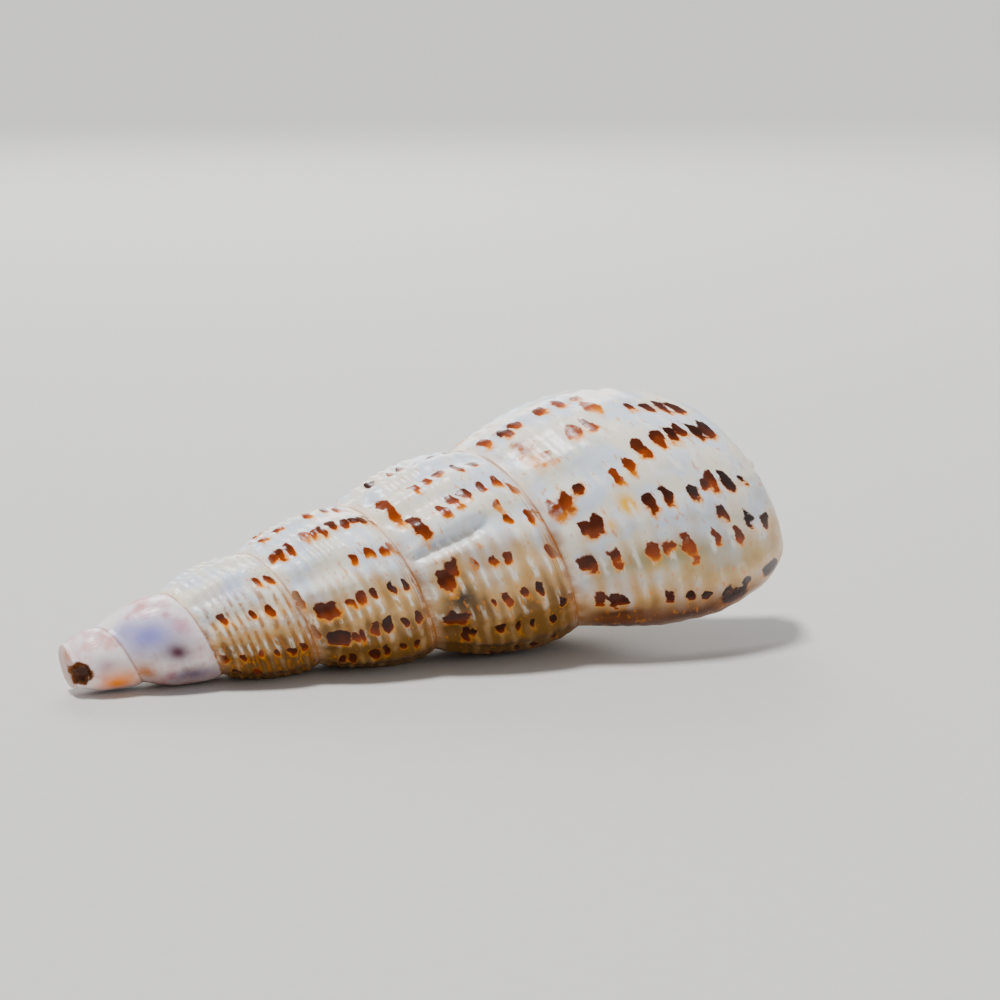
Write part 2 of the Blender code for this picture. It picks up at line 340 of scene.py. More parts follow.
def relief(turn, place, point):
    """Height of all relief over the smooth outline at a place, 0 to 1 side, 1 to 2 base."""
    free = smooth(last_turn(turn) / FREE_EDGE_TURNS)
    fade = smooth(place / SUTURE_BAND) * max(smooth((1.0 - place) / SUTURE_BAND), free)
    fade *= smooth(turn + 1.0) * (1.0 - smooth((place - BASE_FADE_FROM) / BASE_FADE))
    height = suture(turn + 1.0).x - suture(turn).x
    fresh = smooth((turn - BARE_TURNS) / BARE_TURNS)
    on_last = smooth(last_turn(turn) / LAST_RELIEF_TURNS)
    fold_share = FOLD_SHARE + (LAST_FOLD_SHARE - FOLD_SHARE) * on_last
    fold = fold_share * height * math.cos(2.0 * math.pi * fold_phase(turn))
    cord = CORD_HEIGHT + (LAST_CORD_HEIGHT - CORD_HEIGHT) * on_last
    cord *= (1.0 + noise.noise(point / CORD_PATCH)) * math.cos(2.0 * math.pi * cord_number(place, turn))
    lump = WEAR_HEIGHT * wear(turn) * noise.noise(point / WEAR_LUMP)
    wave = WAVE_HEIGHT * noise.noise(point / WAVE_LENGTH)
    ribbed = fresh * (fold * (1.0 - FOLD_FADE * place) + cord)
    return fade * (ribbed + lump + wave + growth_break(turn, place))


def outside_side(turn, down):
    """Point on the outer surface between two sutures."""
    turn += SIDE_SWAY * math.sin(math.pi * down) * smooth(turn + 1.0)
    outline = side(turn, down)
    outline.y += relief(turn, down, roll_up(outline, turn))
    return roll_up(outline, turn)


def outside_front(turn, inward):
    """Point on the outer surface of the base (0 to 1) or of the bare pillar (1 to 2)."""
    if inward > 1.0:
        return roll_up(pillar(turn, inward - 1.0), turn)
    turn += BASE_SWAY * math.sin(math.pi * inward)
    outline = base(turn, inward)
    outline.y += relief(turn, 1.0 + inward, roll_up(outline, turn))
    return roll_up(outline, turn)


def outside_tip(turn, inward):
    """Point on the worn dome that closes the tip, from its ring (0) to its middle (1)."""
    bend = 0.5 * math.pi * inward
    return roll_up(Vector((-TIP_DOME * math.sin(bend), TIP_RADIUS * math.cos(bend))), turn)


PIT_CENTRE = roll_up(Vector((PIT_ALONG, TIP_RADIUS)), (PIT_ANGLE - TIP_ANGLE) / (2.0 * math.pi))


def wear_pit(point):
    """Press the tip in where it is eroded."""
    share = (point - PIT_CENTRE).length / PIT_RADIUS
    if share >= 1.0:
        return point
    inward = (Vector((TIP_RADIUS, 0.0, 0.0)) - PIT_CENTRE).normalized()
    return point + inward * PIT_DEPTH * smooth(PIT_STEEPNESS * (1.0 - share))


def inset(outline, turn, share, distance):
    """Point at a distance inside an outline; a negative distance is outside it."""
    start = outline(turn, max(share - SLOPE_STEP, 0.0))
    end = outline(turn, min(share + SLOPE_STEP, 1.0))
    run = (end - start).normalized()
    return outline(turn, share) + Vector((run.y, -run.x)) * distance


def wall(turn):
    """Wall thickness, which thins to the lip."""
    return LIP_WALL + (WALL - LIP_WALL) * smooth((LIP_TURN - turn) / LIP_THINNING_TURNS)


def corner(turn):
    """Back corner of the hollow, ahead of the suture."""
    upper = suture(turn)
    height = suture(turn + 1.0).x - upper.x
    return Vector((upper.x + CORNER_ALONG * height, upper.y - CORNER_IN * height))


def hollow_front(turn):
    """Front corner of the hollow, beside the pillar."""
    return Vector((base(turn, 1.0).x - wall(turn), PILLAR_RADIUS + CALLUS))


def hollow(turn, place):
    """Point on the hollow's wall: side 0 to 1, base 1 to 2, front 2 to 3, pillar 3 to 4,
    and 4 to 5 the base of the whorl before, which forms the hollow's back.
    """
    part = min(int(place), 4)
    share = place - part
    if part == 0:
        turn += SIDE_SWAY * math.sin(math.pi * share)
        outline = corner(turn).lerp(inset(side, turn, share, wall(turn)), smooth(share / CORNER_SHARE))
    elif part == 1:
        turn += BASE_SWAY * math.sin(math.pi * share)
        outline = inset(base, turn, share, wall(turn))
    elif part == 2:
        outline = inset(base, turn, 1.0, wall(turn)).lerp(hollow_front(turn), share)
    elif part == 3:
        root = inset(base, turn - 1.0, 1.0, -CALLUS)
        outline = bent_line(root, hollow_front(turn), between(HOLLOWED, FULL, 0.0), 1.0 - share)
    else:
        turn += BASE_SWAY * math.sin(math.pi * (1.0 - share))
        back = inset(base, turn - 1.0, 1.0 - share, -CALLUS)
        outline = corner(turn).lerp(back, smooth((1.0 - share) / CORNER_SHARE))
    return roll_up(outline, turn)


def rim(place):
    """Point on the outer surface where the aperture begins, at the same place as hollow()."""
    if place <= 1.0:
        return outside_side(LIP_TURN, place)
    if place <= 3.0:
        return outside_front(LIP_TURN, place - 1.0)
    return outside_front(LIP_TURN - 1.0, 5.0 - place)


def aperture(place, row, turns):
    """Point on the aperture sheet: the rim, the rounded lip, the hollow, then its end."""
    if row == 0:
        return rim(place)
    if row == 1:
        middle = rim(place).lerp(hollow(LIP_TURN, place), 0.5)
        ahead = hollow(LIP_TURN + LIP_ROUNDING, place) - hollow(LIP_TURN, place)
        return middle + ahead * smooth(place / CORNER_SHARE) * smooth(3.0 - place)
    if row < len(turns) + 2:
        return hollow(turns[row - 2], place)
    last = turns[-1]
    return hollow(last, 0.5).lerp(hollow(last, 3.5), 0.5)


# Markings: axial rows of dashes, about one to a cord. Each row is the turn that it starts at,
# how far it has leaned by the tenth cord, and its dashes as cord and strength: 0.6 is a faint
# orange dash, 1 a rust one, 1.3 a nearly black one. The rows are those of the side that shows.
ROWS = (
    (1.75, 0.01, ((8, 0.8), (9.2, 0.9))),
    (1.82, 0.03, ((2.6, 0.9), (6.1, 0.9), (7.6, 0.9))),
    (1.95, 0.0, ((0.6, 0.9), (2.9, 1.0), (5.2, 0.8), (6.7, 1.0), (7.9, 1.1), (9, 1.0))),
    (2.02, -0.01, ((1.7, 1.1), (4, 0.8), (10, 1.2))),
    (2.705, 0.0, ((1, 0.8), (1.6, 0.95), (2.5, 0.9), (4.7, 0.6), (5.6, 0.8), (6.4, 1.0), (7.3, 1.0),
                  (8.0, 1.0), (8.7, 1.1), (9.4, 1.1), (10.2, 1.1))),
    (2.81, -0.03, ((6.9, 0.8), (7.9, 0.75), (9, 0.7), (10, 0.7))),
    (2.885, -0.035, ((4.7, 0.8), (5.9, 0.85), (6.9, 1.0), (8, 1.2), (9.2, 1.2), (10.2, 1.1))),
    (2.955, -0.035, ((3.8, 0.9), (4.7, 1.0), (6, 1.0), (7.1, 1.25), (8, 1.1), (9.2, 1.1), (10.2, 1.0))),
    (3.015, -0.025, ((2, 1.1), (3.1, 1.1), (5.3, 1.1), (6.4, 1.1), (7.5, 1.1), (8.4, 1.1), (10.2, 1.3))),
    (3.715, -0.03, ((4.4, 0.7), (5.6, 0.7), (6.7, 0.9), (7.7, 1.0), (8.7, 1.0))),
    (3.80, -0.075, ((4.7, 0.8), (5.9, 0.85), (6.9, 1.0), (7.9, 0.9), (9, 0.8))),
    (3.876, -0.126, ((7.9, 0.6), (9.8, 0.75))),
    (3.81, -0.01, ((7.9, 0.8), (9.5, 0.8), (10.2, 0.85))),
    (3.85, 0.015, ((4.7, 0.55), (6.1, 0.9), (7.1, 0.85), (9.6, 0.85), (10.2, 1.0))),
    (3.945, -0.035, ((5.1, 0.9), (6.1, 0.95), (7.3, 0.95), (8, 1.2))),
    (3.984, 0.0, ((2.2, 1.2), (2.9, 1.3), (5.1, 1.2), (6.4, 1.2), (7.3, 1.3), (8.3, 1.25))),
    (4.03, -0.09, ((9.2, 1.25), (10, 1.15))),
    (4.10, -0.065, ((4.2, 0.9), (5.3, 0.9), (6.4, 1.0), (7.3, 1.0), (8.5, 1.1), (10, 1.1))),
    (4.745, -0.05, ((4.9, 0.65), (5.8, 0.85), (8.2, 1.1), (9.0, 1.15), (9.5, 1.1), (9.9, 1.1))),
    (4.855, -0.115, ((5.1, 0.75), (6, 0.85), (7.1, 1.0), (8, 1.05), (8.8, 1.2), (9.2, 1.1), (9.7, 1.25),
                     (10.1, 1.2))),
    (4.81, -0.06, ((1.0, 0.65), (1.6, 0.85), (2.6, 1.1))),
    (4.845, -0.01, ((6, 1.15), (7, 1.15), (8, 1.3))),
    (4.875, -0.055, ((8.7, 1.1), (9.1, 1.0), (9.6, 1.35), (10.1, 1.25))),
    (4.862, -0.075, ((1.9, 1.0), (2.5, 1.05))),
    (4.72, 0.165, ((8.9, 1.2), (9.7, 1.4), (10.2, 1.2))),
    (4.892, 0.01, ((0.9, 1.0), (1.4, 1.1), (2.8, 0.95), (5.1, 0.8), (6, 0.75), (7, 0.8), (8.2, 0.85),
                   (9.2, 0.9))),
    (4.956, 0.035, ((1.3, 0.95), (2.0, 1.1), (2.6, 1.15), (5.4, 1.1), (6.5, 1.2), (7.3, 1.3), (8.3, 1.3),
                    (9.2, 1.3), (10.2, 1.3))),
)
# Single blotches: turn, place, length along the coil and width in mm, strength
BLOTCHES = (
    (2.868, 0.20, 0.55, 0.80, 1.0),
    (2.938, 0.20, 0.45, 0.80, 1.2),
    (2.82, 0.03, 0.60, 0.25, 0.95),
    (2.912, 0.04, 0.50, 0.25, 0.95),
    (3.705, 0.14, 1.30, 0.40, 0.80),
    (3.768, 0.20, 0.95, 0.40, 0.95),
    (3.850, 0.25, 0.60, 0.50, 1.0),
    (3.868, 0.18, 0.75, 0.55, 0.95),
    (3.944, 0.15, 0.50, 0.95, 1.15),
    (4.708, 0.17, 1.30, 0.75, 0.50),
    (4.737, 0.24, 0.75, 0.30, 0.55),
    (4.690, 0.66, 0.90, 0.45, 0.60),
    (4.924, 0.70, 0.35, 0.35, 0.65),
    (5.005, 0.92, 0.80, 1.40, 1.3),
    (4.985, 1.22, 0.90, 0.90, 1.3),
)
LEAN_CORDS = 10.0
DASH_LENGTH = 0.58 * MM
DASH_WIDTH = 0.44 * MM
DASH_LENGTHS = (0.8, 1.35)
DASH_WIDTHS = (0.8, 1.2)
DASH_SHIFT = 0.003
SPIRE_DASH = 0.70
DASH_GROWTH_TURNS = 0.5
EARLY_DASH_LOSS = 0.18
EARLY_DASHES_END = 2.5
DASH_SQUARENESS = 2.8
DASH_TAIL = 1.45
MARKING_SEED = 11
BINS_PER_TURN = 20.0

# Rows that the photo's side doesn't show are drawn by lot: those of the far side, whose stretch
# of each turn is counted on from the lip, and those of the base
HIDDEN_ROWS_FROM = 1.9
HIDDEN_ROW_STEP = 0.072
HIDDEN_STEPS = (0.8, 1.2)
HIDDEN_FROM = 0.04
HIDDEN_TO = 0.60
HIDDEN_CORDS = range(1, 13)
HIDDEN_STRENGTHS = (0.65, 1.25)
HIDDEN_LEAN = 0.03
DASH_CHANCE = 0.55
BASE_ROWS_FROM = 4.56
BASE_ROWS_TO = LIP_TURN - 0.02
BASE_STEPS = (0.8, 1.1)
BASE_CORDS = (11, 12)
BASE_STRENGTHS = (0.85, 1.3)
BASE_LEAN = 0.02
BASE_DASH_CHANCE = 0.75


def dash(turn, place, length, width, strength):
    """One marking, with how many turns and places its half length and half width take."""
    around = 2.0 * math.pi * side(turn, min(place, 1.0)).y
    height = suture(turn + 1.0).x - suture(turn).x
    return (turn, place, 0.5 * length / around, 0.5 * width / height, strength)


def row_dashes(start, lean, dashes, lots):
    """Markings of one axial row, each a little off its cord in size and place."""
    made = []
    size = SPIRE_DASH + (1.0 - SPIRE_DASH) * smooth(last_turn(start) / DASH_GROWTH_TURNS)
    size *= 1.0 - EARLY_DASH_LOSS * smooth(EARLY_DASHES_END - start)
    for cord, strength in dashes:
        turn = start + lean * cord / LEAN_CORDS + lots.uniform(-DASH_SHIFT, DASH_SHIFT)
        length = DASH_LENGTH * size * lots.uniform(*DASH_LENGTHS)
        width = DASH_WIDTH * size * lots.uniform(*DASH_WIDTHS)
        made.append(dash(turn, cord_place(cord, turn), length, width, strength))
    return made


lots = random.Random(MARKING_SEED)
dashes = []
for start, lean, row in ROWS:
    dashes += row_dashes(start, lean, row, lots)
for turn, place, length, width, strength in BLOTCHES:
    dashes.append(dash(turn, place, length * MM, width * MM, strength))
turn = HIDDEN_ROWS_FROM
while turn < LIP_TURN:
    if HIDDEN_FROM < (turn - LIP_TURN) % 1.0 < HIDDEN_TO:
        row = [(cord, lots.uniform(*HIDDEN_STRENGTHS)) for cord in HIDDEN_CORDS
               if lots.random() < DASH_CHANCE]
        dashes += row_dashes(turn, lots.uniform(-HIDDEN_LEAN, HIDDEN_LEAN), row, lots)
    turn += HIDDEN_ROW_STEP * lots.uniform(*HIDDEN_STEPS)
turn = BASE_ROWS_FROM
while turn < BASE_ROWS_TO:
    row = [(cord, lots.uniform(*BASE_STRENGTHS)) for cord in BASE_CORDS
           if lots.random() < BASE_DASH_CHANCE]
    dashes += row_dashes(turn, lots.uniform(-BASE_LEAN, BASE_LEAN), row, lots)
    turn += HIDDEN_ROW_STEP * lots.uniform(*BASE_STEPS)

# Each bin of turns lists the dashes in it and in the bins on either side, so that a point is
# compared with those near it only
by_turn = {}
for marking in dashes:
    for beside in range(-1, 2):
        by_turn.setdefault(int(marking[0] * BINS_PER_TURN) + beside, []).append(marking)


def pigment(turn, place):
    """Dash at a place: how near its middle it is (0.5 at the edge), how far towards its younger
    end, and how strong the dash is.
    """
    nearest = (0.0, 0.0, 0.0)
    for at, level, length, width, strength in by_turn.get(int(turn * BINS_PER_TURN), ()):
        along = (turn - at) / length
        if along > 0.0:
            along /= DASH_TAIL
        off = (abs(along) ** DASH_SQUARENESS
               + abs((place - level) / width) ** DASH_SQUARENESS) ** (1.0 / DASH_SQUARENESS)
        if 1.0 - 0.5 * off > nearest[0]:
            nearest = (1.0 - 0.5 * off, along, strength)
    return nearest


# Tints under the dashes: turn, place, half its turns, half its places, colour and strength
LILAC = "6D70C6"
PLUM = "5A2A3E"
AMBER = "F98600"
UMBER = "4C2C12"
# White of the painted highlights at the healed break
BREAK_HIGHLIGHT = "FFFFFC"
YELLOW = "FFBE00"
SMOKE = "8F8A62"
LIP_DARK = "431604"
TINT_REACH = 2.0
TINTS = (
    (-0.11, 0.55, 0.045, 0.16, "B98A9E", 0.55),
    (-0.04, 0.85, 0.055, 0.20, "EBA878", 0.65),
    (0.81, 0.36, 0.070, 0.36, LILAC, 0.85),
    (0.74, 0.15, 0.045, 0.20, LILAC, 0.50),
    (0.816, 0.78, 0.030, 0.14, "C98AA0", 0.60),
    (0.995, 0.62, 0.040, 0.42, "5C4A68", 0.85),
    (0.892, 0.57, 0.034, 0.16, PLUM, 1.0),
    (-0.01, 0.62, 0.065, 0.30, AMBER, 1.0),
    (0.95, 0.09, 0.050, 0.15, "B5661F", 0.90),
    (1.77, 0.45, 0.030, 0.25, "A9AEDC", 0.55),
    (1.96, 0.55, 0.040, 0.45, UMBER, 0.60),
    (2.94, 0.10, 0.040, 0.14, UMBER, 0.70),
    # Along the healed break: painted highlights in white on the old lip and the new ridge, and painted
    # shade in blue-grey in the groove between them
    (3.800, 0.05, 0.011, 0.09, BREAK_HIGHLIGHT, 0.85),
    (3.789, 0.22, 0.011, 0.14, BREAK_HIGHLIGHT, 0.90),
    (3.782, 0.42, 0.011, 0.14, BREAK_HIGHLIGHT, 0.80),
    (3.807, 0.24, 0.007, 0.16, "A3AEC8", 0.80),
    (3.836, 0.05, 0.008, 0.07, BREAK_HIGHLIGHT, 0.90),
    (3.824, 0.15, 0.008, 0.09, BREAK_HIGHLIGHT, 0.90),
    (3.823, 0.27, 0.008, 0.09, BREAK_HIGHLIGHT, 0.80),
    # Painted shade of a dent behind the break, in dark grey
    (3.908, 0.23, 0.024, 0.11, "3A3228", 1.0),
    (3.95, 0.10, 0.035, 0.14, UMBER, 0.70),
    (4.838, 0.45, 0.014, 0.052, YELLOW, 1.0),
    (4.838, 0.45, 0.009, 0.034, YELLOW, 1.0),
    (4.856, 0.31, 0.012, 0.040, YELLOW, 0.8),
    (4.915, 0.47, 0.012, 0.044, YELLOW, 1.0),
    (4.915, 0.47, 0.008, 0.030, YELLOW, 1.0),
    (4.906, 0.58, 0.011, 0.040, YELLOW, 1.0),
    (4.912, 0.55, 0.016, 0.50, SMOKE, 0.80),
    (4.94, 0.95, 0.020, 0.40, SMOKE, 0.45),
    (5.015, 0.22, 0.034, 0.34, "74350F", 0.92),
    (4.998, 0.22, 0.007, 0.12, "4E1C06", 0.90),
    (5.034, 0.28, 0.009, 0.22, LIP_DARK, 0.90),
    (5.02, 0.75, 0.030, 0.50, "6A3010", 0.92),
    (5.018, 0.62, 0.009, 0.14, LIP_DARK, 0.85),
)


def tint(turn, place):
    """Colour of the tints at a place, and how strong it is there."""
    colour, total = Vector((1.0, 1.0, 1.0)), 0.0
    for at, level, turns_half, places_half, hex_colour, most in TINTS:
        off = math.hypot((turn - at) / turns_half, (place - level) / places_half)
        if off < TINT_REACH:
            share = most * bump(off)
            total = total + share * (1.0 - total)
            colour = colour.lerp(Vector(linear(hex_colour)[:3]), share / total if total > 0.0 else 0.0)
    return (*colour, total)


# Marks that the mesh carries for the material, and the unevenness of the dashes' edges
MARKS = ("dash", "tail", "strength", "wear", "underside", "cord", "bead", "pit")
WANDER_SIZE = 0.35 * MM
WANDER_TURNS = 0.010
WANDER_PLACES = 0.030
PIT_STAIN_AND_SHADE_RADIUS = 1.3 * PIT_RADIUS
OUTSIDE, INSIDE = 0, 1

resting = Matrix.LocRotScale(TIP_AT, Euler((ROLL, -PITCH, 0.0)), None)
upright = Vector((-math.sin(ROLL), math.cos(ROLL)))
shell_mesh = bmesh.new()
layers = {name: shell_mesh.verts.layers.float.new(name) for name in MARKS}
tint_layer = shell_mesh.verts.layers.float_color.new("tint")
map_layer = shell_mesh.loops.layers.uv.new("turn and place")


def add_sheet(columns, rows, place, look, material):
    """Add a grid, move each corner to place(u, v), and mark it by its turn, its place on the
    whorl and its wear, which look(u, v) gives. Where it would pass below height 0, where the
    shell rests, it is eased to a flat.
    """
    made = bmesh.ops.create_grid(shell_mesh, x_segments=columns, y_segments=rows, size=0.5)
    looks = {}
    for vert in made["verts"]:
        u, v = vert.co.x + 0.5, vert.co.y + 0.5
        point = place(u, v)
        looks[vert] = look(u, v)
        turn, level, vert[layers["wear"]] = looks[vert]
        if material == OUTSIDE and turn > 0.0:
            bent_turn = turn + WANDER_TURNS * noise.noise(point / WANDER_SIZE)
            bent_level = level + WANDER_PLACES * noise.noise(-point / WANDER_SIZE)
            for name, value in zip(("dash", "tail", "strength"), pigment(bent_turn, bent_level)):
                vert[layers[name]] = value
            vert[layers["cord"]] = 0.5 + 0.5 * math.cos(2.0 * math.pi * cord_number(level, turn))
            vert[layers["bead"]] = 0.5 + 0.5 * math.cos(2.0 * math.pi * fold_phase(turn))
        vert[tint_layer] = tint(turn, level)
        vert[layers["pit"]] = 1.0 - (point - PIT_CENTRE).length / PIT_STAIN_AND_SHADE_RADIUS
        # How far round from the top a point lies as the shell rests; the tan, olive and golden brown below
        # follow it, partly as painted shade
        around = Vector((point.y, point.z))
        vert[layers["underside"]] = 0.5 - 0.5 * around.normalized().dot(upright)
        point = resting @ point
        point.z = 0.5 * (point.z + math.hypot(point.z, PRESS_EASE))
        vert.co = point
    for face in {face for vert in made["verts"] for face in vert.link_faces}:
        face.material_index = material
        for loop in face.loops:
            loop[map_layer].uv = looks[loop.vert][:2]


coil_turns = LIP_TURN + 1.0
front_rows = BASE_ROWS + PILLAR_ROWS
turns = [LIP_TURN - NEAR_HOLLOW_TURNS * row / NEAR_HOLLOW_ROWS for row in range(NEAR_HOLLOW_ROWS)]
turns += [LIP_TURN - NEAR_HOLLOW_TURNS - DEEP_HOLLOW_TURNS * row / DEEP_HOLLOW_ROWS
          for row in range(DEEP_HOLLOW_ROWS + 1)]
segments = (SIDE_ROWS, BASE_ROWS, PILLAR_ROWS, PILLAR_ROWS, BASE_ROWS)
places = [part + step / count for part, count in enumerate(segments) for step in range(count)] + [5.0]
last_place, last_row = len(places) - 1, len(turns) + 2


def coil_look(u, v):
    """Marks of a point of the coil."""
    turn = -1.0 + coil_turns * u
    return turn, v, wear(turn)


def front_place(v):
    """Place on the base (0 to 1) and the pillar (1 to 2) at a share of the front sheet."""
    row = v * front_rows
    return row / BASE_ROWS if row <= BASE_ROWS else 1.0 + (row - BASE_ROWS) / PILLAR_ROWS


def front_look(u, v):
    """Marks of a point of the last whorl's base or of the pillar."""
    return LIP_TURN - 1.0 + u, 1.0 + front_place(v), 0.0


add_sheet(round(coil_turns * COLUMNS_PER_TURN), SIDE_ROWS,
          lambda u, v: wear_pit(outside_side(-1.0 + coil_turns * u, v)), coil_look, OUTSIDE)
add_sheet(COLUMNS_PER_TURN, front_rows,
          lambda u, v: outside_front(LIP_TURN - 1.0 + u, front_place(v)), front_look, OUTSIDE)
add_sheet(COLUMNS_PER_TURN, CAP_ROWS, lambda u, v: wear_pit(outside_tip(-u, v)),
          lambda u, v: (-u, -v, 1.0), OUTSIDE)
add_sheet(last_place, last_row,
          lambda u, v: aperture(places[round((1.0 - u) * last_place)], round(v * last_row), turns),
          lambda u, v: (LIP_TURN - v, places[round((1.0 - u) * last_place)], 0.0), INSIDE)

bmesh.ops.remove_doubles(shell_mesh, verts=shell_mesh.verts, dist=SEAM)
bmesh.ops.dissolve_degenerate(shell_mesh, edges=shell_mesh.edges, dist=SEAM)
shell_data = bpy.data.meshes.new("trumpet_shell")
shell_mesh.to_mesh(shell_data)
shell_mesh.free()
shell_data.shade_smooth()
shell = bpy.data.objects.new("trumpet_shell", shell_data)
bpy.context.scene.collection.objects.link(shell)

# Outer layer: worn-smooth aragonite, translucent like porcelain. Cream to bluish white above,
# tan and olive below, partly a stain and partly painted shade, with painted glints on the beads,
# rust to black dashes with orange haloes, lilac and pink at the worn tip.
CREAM = "F5EDDA"
BLUE_WHITE = "DDE6F2"
CLOUDY = "BDBEAB"
TAN = "D09A40"
OLIVE = "7A5420"
GOLDEN_BROWN = "A8641A"
# Painted glint on the crests of the beads
PAINTED_BEAD_GLINT = "FBF6EA"
HALO = "FFA61A"
ORANGE = "E48400"
RUST = "9C3E00"
DARK = "5C2000"
DEEP = "341002"
BLACK = "1A0803"
SUTURE_LINE = "A05A12"
PEACH = "F2C79C"
# Brown of the suture's crease underneath: partly a stain, partly painted shade
SUTURE_STAIN_AND_SHADE = "8A4E14"
PIT_BROWN = "80491C"
PIT_DARK = "45200C"
TIP_WHITE = "F4E9E9"
TIP_PINK = "DB9F9B"
CLOUD_SIZE = 1.3 * MM
MOTTLE_SIZE = 0.9 * MM
PATCH_SIZE = 0.35 * MM
GRAIN_SIZE = 0.22 * MM
RAGGED_SIZE = 0.16 * MM
GROWTH_LINES = 95.0
SUTURE_THREADS = 36.0


def cover(tree, most, *steps):
    """How much of a layer lies at a point: the most it may be, times an eased step for each
    mark or pattern, given with the values at which the layer starts and is full.
    """
    for value, start, full in steps:
        step = add_node(tree, "MapRange", {"Value": value, "From Min": start, "From Max": full},
                        interpolation_type="SMOOTHSTEP")
        most = add_node(tree, "Math", {0: step, 1: most}, operation="MULTIPLY")
    return most


def layered(tree, colour, layers):
    """Colour under layers, each a colour and its cover."""
    for over, share in layers:
        colour = add_node(tree, "Mix", {0: share, 6: colour, 7: over}, 2, data_type="RGBA")
    return colour


outer, tree, shader = new_material("aragonite outer layer")
on_shell = add_node(tree, "TexCoord", {}, "Object")
coil_map = add_node(tree, "UVMap", {}, uv_map="turn and place")
turn_out = add_node(tree, "SeparateXYZ", {0: coil_map})
place_out = turn_out.node.outputs["Y"]
marks = {name: add_node(tree, "Attribute", {}, "Fac", attribute_name=name) for name in MARKS}
tints = add_node(tree, "Attribute", {}, "Color", attribute_name="tint")
tint_cover = tints.node.outputs["Alpha"]

# Patterns in lumps of a size, and patterns drawn out along the coil or across it, whose lumps
# are counted per turn and per whorl
lumps = {name: add_node(tree, "TexNoise", {"Vector": on_shell, "Scale": 1.0 / size, "Detail": detail})
         for name, size, detail in (("clouds", CLOUD_SIZE, 2.0), ("mottle", MOTTLE_SIZE, 3.0),
                                    ("patches", PATCH_SIZE, 2.0), ("grain", GRAIN_SIZE, 3.0),
                                    ("ragged", RAGGED_SIZE, 2.0))}
streaks = {}
for name, per_turn, per_whorl in (("smoke", 26.0, 1.6), ("uneven", 14.0, 5.0), ("glint_breaks", 60.0, 30.0),
                                  ("freckles", 70.0, 34.0), ("crease_stain_and_shade", 30.0, 3.0), ("threads", 14.0, 4.0),
                                  ("line", 9.0, 0.0), ("growth", GROWTH_LINES, 3.0)):
    drawn = add_node(tree, "Mapping", {"Vector": coil_map, "Scale": (per_turn, per_whorl, 1.0)})
    streaks[name] = add_node(tree, "TexNoise", {"Vector": drawn, "Scale": 1.0, "Detail": 3.0})

# The stain underneath, which is partly painted shade on the side turned down, comes sooner on
# the spire than on the last whorl, and between the cords
stain_and_shade_below = add_node(tree, "Math", {0: streaks["uneven"], 1: 0.50, 2: marks["underside"]},
                   operation="MULTIPLY_ADD")
stain_and_shade_below = add_node(tree, "Math", {0: marks["cord"], 1: -0.07, 2: stain_and_shade_below}, operation="MULTIPLY_ADD")
stain_and_shade_below = add_node(tree, "Math", {0: stain_and_shade_below, 1: cover(tree, -0.19, (turn_out, 4.3, 4.75))})
freckled = add_node(tree, "Math", {0: lumps["mottle"], 1: 0.35, 2: streaks["freckles"]},
                    operation="MULTIPLY_ADD")

# Dashes are crisp and rust to nearly black where they start, with an orange stain at the younger
# end. Faint ones are patchy and orange all over, and noise makes the edges ragged.
near = add_node(tree, "Math", {0: lumps["ragged"], 1: 0.30, 2: marks["dash"]}, operation="MULTIPLY_ADD")
younger = add_node(tree, "MapRange", {"Value": marks["tail"], "From Min": -0.2, "From Max": 0.9,
                                      "To Min": 0.08, "To Max": 0.88}, interpolation_type="SMOOTHSTEP")
depth = add_node(tree, "Math", {0: cover(tree, marks["strength"], (near, 0.43, 0.77)), 1: 0.68,
                                2: cover(tree, -0.24, (marks["tail"], -0.2, 0.9))},
                 operation="MULTIPLY_ADD")
dash_colour = add_node(tree, "ValToRGB", {"Fac": depth})
stops = dash_colour.node.color_ramp.elements
stops[0].position, stops[0].color = 0.18, linear(ORANGE)
stops[1].position, stops[1].color = 0.96, linear(BLACK)
for position, colour in ((0.38, RUST), (0.62, DARK), (0.80, DEEP)):
    stops.new(position).color = linear(colour)
patchy = add_node(tree, "Math", {0: lumps["patches"], 1: 0.9, 2: marks["strength"]},
                  operation="MULTIPLY_ADD")

# A suture is a thin brown line between peach bands, with fine threads of the same brown above
# it. It is at place 0 on every turn, and at place 1 too, except on the last turn.
below = add_node(tree, "Math", {0: 1.0, 1: place_out}, operation="SUBTRACT")
to_lower = add_node(tree, "Math", {0: below}, operation="ABSOLUTE")
to_lower = add_node(tree, "Math", {0: to_lower,
                                   1: cover(tree, 2.0, (turn_out, LIP_TURN - 1.0, LIP_TURN - 0.99))})
off_suture = add_node(tree, "Math", {0: place_out, 1: to_lower}, operation="MINIMUM")
thread = add_node(tree, "Math", {0: place_out, 1: 2.0 * math.pi * SUTURE_THREADS}, operation="MULTIPLY")
thread = add_node(tree, "Math", {0: thread}, operation="SINE")
broken = add_node(tree, "MapRange", {"Value": streaks["line"], "From Min": 0.38, "From Max": 0.62,
                                     "To Min": 0.20, "To Max": 1.0}, interpolation_type="SMOOTHSTEP")

